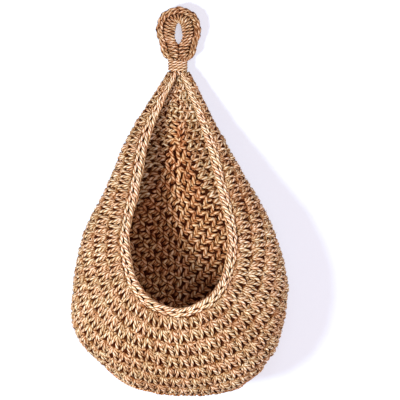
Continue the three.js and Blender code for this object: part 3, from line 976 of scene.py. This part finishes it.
# Painted shade, from the bottom of a crease through red-brown to twine in the open: (openness, colour)
PAINTED_SHADE_TONES = ((0.001, (0.060, 0.014, 0.003)), (0.30, (0.38, 0.18, 0.070)), (0.65, (0.79, 0.61, 0.445)),
                (0.999, (1, 1, 1)))


def twisted_plies(nodes, run, angle):
    """How far a point stands out of the grooves between the plies."""
    twist = nodes.maths("MULTIPLY", run, 2 * math.pi * PLIES / TWIST)
    wave = nodes.maths("SINE", nodes.maths("ADD", nodes.maths("MULTIPLY", angle, float(PLIES)), twist))
    return nodes.maths("POWER", nodes.maths("MULTIPLY_ADD", wave, 0.5, 0.5), 0.6)


def fine_fibres(nodes, run, angle, strand):
    """Fibres along the plies: a noise that is drawn out along the twine and turns with it."""
    turned = nodes.maths("ADD", angle, nodes.maths("MULTIPLY", run, 2 * math.pi / TWIST))
    place = nodes.new("ShaderNodeCombineXYZ")
    nodes.link(nodes.maths("MULTIPLY", nodes.maths("COSINE", turned), 2.2), place.inputs["X"])
    nodes.link(nodes.maths("MULTIPLY", nodes.maths("SINE", turned), 2.2), place.inputs["Y"])
    apart = nodes.maths("MULTIPLY", strand, 40.0)
    nodes.link(nodes.maths("MULTIPLY_ADD", run, 120.0, apart), place.inputs["Z"])
    return nodes.noise(place.outputs[0], 3.0, 2.5, 0.7)


def jute_colour(nodes, fibres, tones):
    """Tones that follow the fibres and change in patches, with a hue between ruddy and straw."""
    where = nodes.new("ShaderNodeTexCoord").outputs["Object"]
    patches = nodes.noise(where, 210.0, 1.0)
    hue = nodes.noise(where, 95.0)
    broad = nodes.noise(where, 22.0)
    tone = nodes.maths("ADD", nodes.maths("MULTIPLY_ADD", fibres, 0.80, -0.50),
                       nodes.maths("MULTIPLY", patches, 1.05))
    tone = nodes.maths("ADD", tone, nodes.maths("MULTIPLY", broad, 0.25))
    tint = nodes.mix("MIX", nodes.maths("MULTIPLY_ADD", hue, 4.0, -1.5), RUDDY, STRAW)
    return nodes.mix("MULTIPLY", 1.0, nodes.ramp(tone, zip(TONE_PLACES, tones)), tint)


def painted_crease_shade(nodes, ply, lit, dark):
    """Painted shade in the grooves between plies, the creases between strands and on strands with less light.
    """
    crease = nodes.new("ShaderNodeAmbientOcclusion")
    crease.samples = 4
    crease.inputs["Distance"].default_value = CREASE_REACH
    openness = nodes.maths("MULTIPLY_ADD", crease.outputs["AO"], 2.6, -dark, clamp=True)
    openness = nodes.maths("MULTIPLY", openness, nodes.maths("MULTIPLY_ADD", ply, 0.85, 0.15))
    openness = nodes.maths("MULTIPLY", openness, nodes.maths("POWER", lit, 0.8))
    return nodes.ramp(openness, PAINTED_SHADE_TONES)


def make_jute(name, tones, dark=1.12):
    """Dry three-ply jute from four tones, dark fibres first; a larger dark makes its painted crease shade
    wider.
    """
    material = bpy.data.materials.new(name)
    material.use_nodes = True
    surface = material.node_tree.nodes["Principled BSDF"]
    nodes = Nodes(material.node_tree)
    run = nodes.attribute("run")
    ring = nodes.new("ShaderNodeSeparateXYZ")
    nodes.link(nodes.attribute("ring", "Vector"), ring.inputs[0])
    angle = nodes.maths("ARCTAN2", ring.outputs["Y"], ring.outputs["X"])
    ply = twisted_plies(nodes, run, angle)
    fibres = fine_fibres(nodes, run, angle, nodes.attribute("strand"))
    shade = painted_crease_shade(nodes, ply, nodes.attribute("lit"), dark)
    # The tones are multiplied by the painted shade
    colour = nodes.mix("MULTIPLY", 1.0, jute_colour(nodes, fibres, tones), shade)
    nodes.link(colour, surface.inputs["Base Color"])

    bump = nodes.new("ShaderNodeBump")
    bump.inputs["Strength"].default_value = 0.8
    bump.inputs["Distance"].default_value = 0.0007
    height = nodes.maths("ADD", nodes.maths("MULTIPLY", ply, 0.7), nodes.maths("MULTIPLY", fibres, 0.5))
    nodes.link(height, bump.inputs["Height"])
    nodes.link(bump.outputs["Normal"], surface.inputs["Normal"])
    surface.inputs["Roughness"].default_value = 0.82
    surface.inputs["Specular IOR Level"].default_value = 0.06
    return material


jute = make_jute("Jute twine", (
    (0.30, 0.165, 0.085), (0.57, 0.42, 0.28), (0.82, 0.725, 0.565), (0.92, 0.90, 0.86)))
light_jute = make_jute("Pale jute twine", (
    (0.46, 0.30, 0.19), (0.88, 0.74, 0.57), (1.0, 0.93, 0.80), (1.0, 0.98, 0.94)), 0.86)
# A darker copy of the jute, for the loop
loop_jute = make_jute("Darker jute twine", (
    (0.19, 0.090, 0.044), (0.39, 0.245, 0.148), (0.63, 0.48, 0.34), (0.92, 0.81, 0.69)))
# Painted shade: a redder, darker copy of the jute for the back panel, mostly seen in the pouch's shaded
# inside
panel_jute = make_jute("Shaded jute twine", (
    (0.28, 0.11, 0.045), (0.57, 0.320, 0.170), (0.85, 0.61, 0.40), (0.97, 0.85, 0.70)))


def keep(piece, node):
    """A piece of the pouch or its neck, in the place of one of the solids."""
    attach(piece, "basket")
    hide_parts(node)


def keep_loop(piece, node):
    """A piece of the loop, in the place of one of the solids."""
    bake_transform(piece)
    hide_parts(node)


# The pieces, in the order in which they take their random draws
for course in range(WALL_COURSES):
    name = f"wall_course_{course + 1:02d}"
    keep(twine("twine_" + name, wall_lines(WallRow(course)), jute), name)
for course in range(PANEL_COURSES):
    name = f"back_panel_course_{course + 1:02d}"
    lines = panel_lines(PanelRow(course))
    if course == PANEL_COURSES - 1:
        lines += tip_lines()
    keep(twine("twine_" + name, lines, panel_jute), name)
keep(twine("twine_mouth_edging", edging_lines(), light_jute), "mouth_edging")
keep(twine("twine_gathered_neck", neck_lines(), jute), "gathered_neck")
keep(twine("twine_neck_binding", binding_lines(), jute), "neck_binding")
keep_loop(twine("twine_loop_outer_braid", braid_lines(), loop_jute), "loop_outer_braid")
keep_loop(twine("twine_loop_eye_chain", eye_lines(), loop_jute), "loop_eye_chain")
keep_loop(twine("twine_loop_upright_stitches", post_lines(), loop_jute), "loop_upright_stitches")

# Backdrop: an upright plane just behind the basket, in metres
BACKDROP_HALF = 3.0
BACKDROP_Y = 0.011
BACKDROP_GLOW = 0.60


def seen_share(nodes, strength):
    """A strength for rays that show the backdrop itself, and none for rays that light the basket."""
    ray = nodes.new("ShaderNodeLightPath")
    shown = ray.outputs["Is Camera Ray"]
    for other in ("Is Glossy Ray", "Is Transmission Ray"):
        shown = nodes.maths("MAXIMUM", shown, ray.outputs[other])
    return nodes.maths("MULTIPLY", shown, strength)


def make_backdrop_paint():
    """Matt paint that looks white, and is darker where the basket keeps light from it."""
    paint = bpy.data.materials.new("Wall paint")
    paint.use_nodes = True
    matt = paint.node_tree.nodes["Principled BSDF"]
    matt.inputs["Base Color"].default_value = (0.40, 0.50, 0.63, 1)
    matt.inputs["Roughness"].default_value = 1.0
    matt.inputs["Specular IOR Level"].default_value = 0.0
    nodes = Nodes(paint.node_tree)
    glow = nodes.new("ShaderNodeEmission")
    glow.inputs["Color"].default_value = (0.93, 0.87, 0.93, 1)
    nodes.link(seen_share(nodes, BACKDROP_GLOW), glow.inputs["Strength"])
    both = nodes.new("ShaderNodeAddShader")
    nodes.link(matt.outputs[0], both.inputs[0])
    nodes.link(glow.outputs[0], both.inputs[1])
    nodes.link(both.outputs[0], paint.node_tree.nodes["Material Output"].inputs["Surface"])
    return paint


def make_backdrop():
    corners = [(side * BACKDROP_HALF, BACKDROP_Y, up * BACKDROP_HALF)
               for side, up in ((-1, -1), (1, -1), (1, 1), (-1, 1))]
    mesh = bpy.data.meshes.new("wall")
    mesh.from_pydata(corners, [], [(0, 1, 2, 3)])
    mesh.materials.append(make_backdrop_paint())
    backdrop = bpy.data.objects.new("wall", mesh)
    bpy.context.scene.collection.objects.link(backdrop)


# Lamps low on the left, in front and on the right, all aimed at the middle of the pouch
LIT_POINT = (0, -0.03, -0.19)


def lamp(name, place, size, power, colour):
    """A round lamp, with its place and size in metres and its power in watts."""
    data = bpy.data.lights.new(name, "AREA")
    data.shape = "DISK"
    data.size = size
    data.energy = power
    data.color = colour
    light = bpy.data.objects.new(name, data)
    light.location = place
    light.rotation_euler = (Vector(LIT_POINT) - Vector(place)).to_track_quat("-Z", "Y").to_euler()
    bpy.context.scene.collection.objects.link(light)


def light_room():
    """Dim warm light from all around, and plain white where rays show the room itself."""
    world = bpy.data.worlds.new("Room")
    bpy.context.scene.world = world
    world.use_nodes = True
    warm = world.node_tree.nodes["Background"]
    warm.inputs["Color"].default_value = (1.0, 0.44, 0.32, 1)
    warm.inputs["Strength"].default_value = 0.31
    nodes = Nodes(world.node_tree)
    white = nodes.new("ShaderNodeBackground")
    white.inputs["Color"].default_value = (1, 1, 1, 1)
    either = nodes.new("ShaderNodeMixShader")
    nodes.link(seen_share(nodes, 1.0), either.inputs[0])
    nodes.link(warm.outputs[0], either.inputs[1])
    nodes.link(white.outputs[0], either.inputs[2])
    nodes.link(either.outputs[0], world.node_tree.nodes["World Output"].inputs["Surface"])


make_backdrop()
lamp("Key", (-1.0, -1.42, -0.56), 0.42, 42, (0.96, 1.0, 0.97))
lamp("Fill", (0.3, -1.7, -0.1), 1.0, 8.6, (0.98, 1.0, 1.0))
lamp("Side", (1.66, -0.62, -0.30), 0.8, 17.5, (0.98, 1.0, 1.0))
light_room()

# Camera, level and square to the backdrop; the picture is VIEW_WIDTH metres wide at VIEW_MIDDLE
VIEW_WIDTH = 0.400
VIEW_MIDDLE = (0.0215, -0.025, -0.178)
DISTANCE = 7.0
SENSOR = 36


def place_camera():
    x, y, z = VIEW_MIDDLE
    data = bpy.data.cameras.new("Camera")
    data.sensor_width = SENSOR
    data.lens = SENSOR * DISTANCE / VIEW_WIDTH
    camera = bpy.data.objects.new("Camera", data)
    camera.location = (x, y - DISTANCE, z)
    camera.rotation_euler = (math.radians(90), 0, 0)
    bpy.context.scene.collection.objects.link(camera)
    bpy.context.scene.camera = camera


place_camera()
bpy.context.scene.view_settings.view_transform = "Standard"
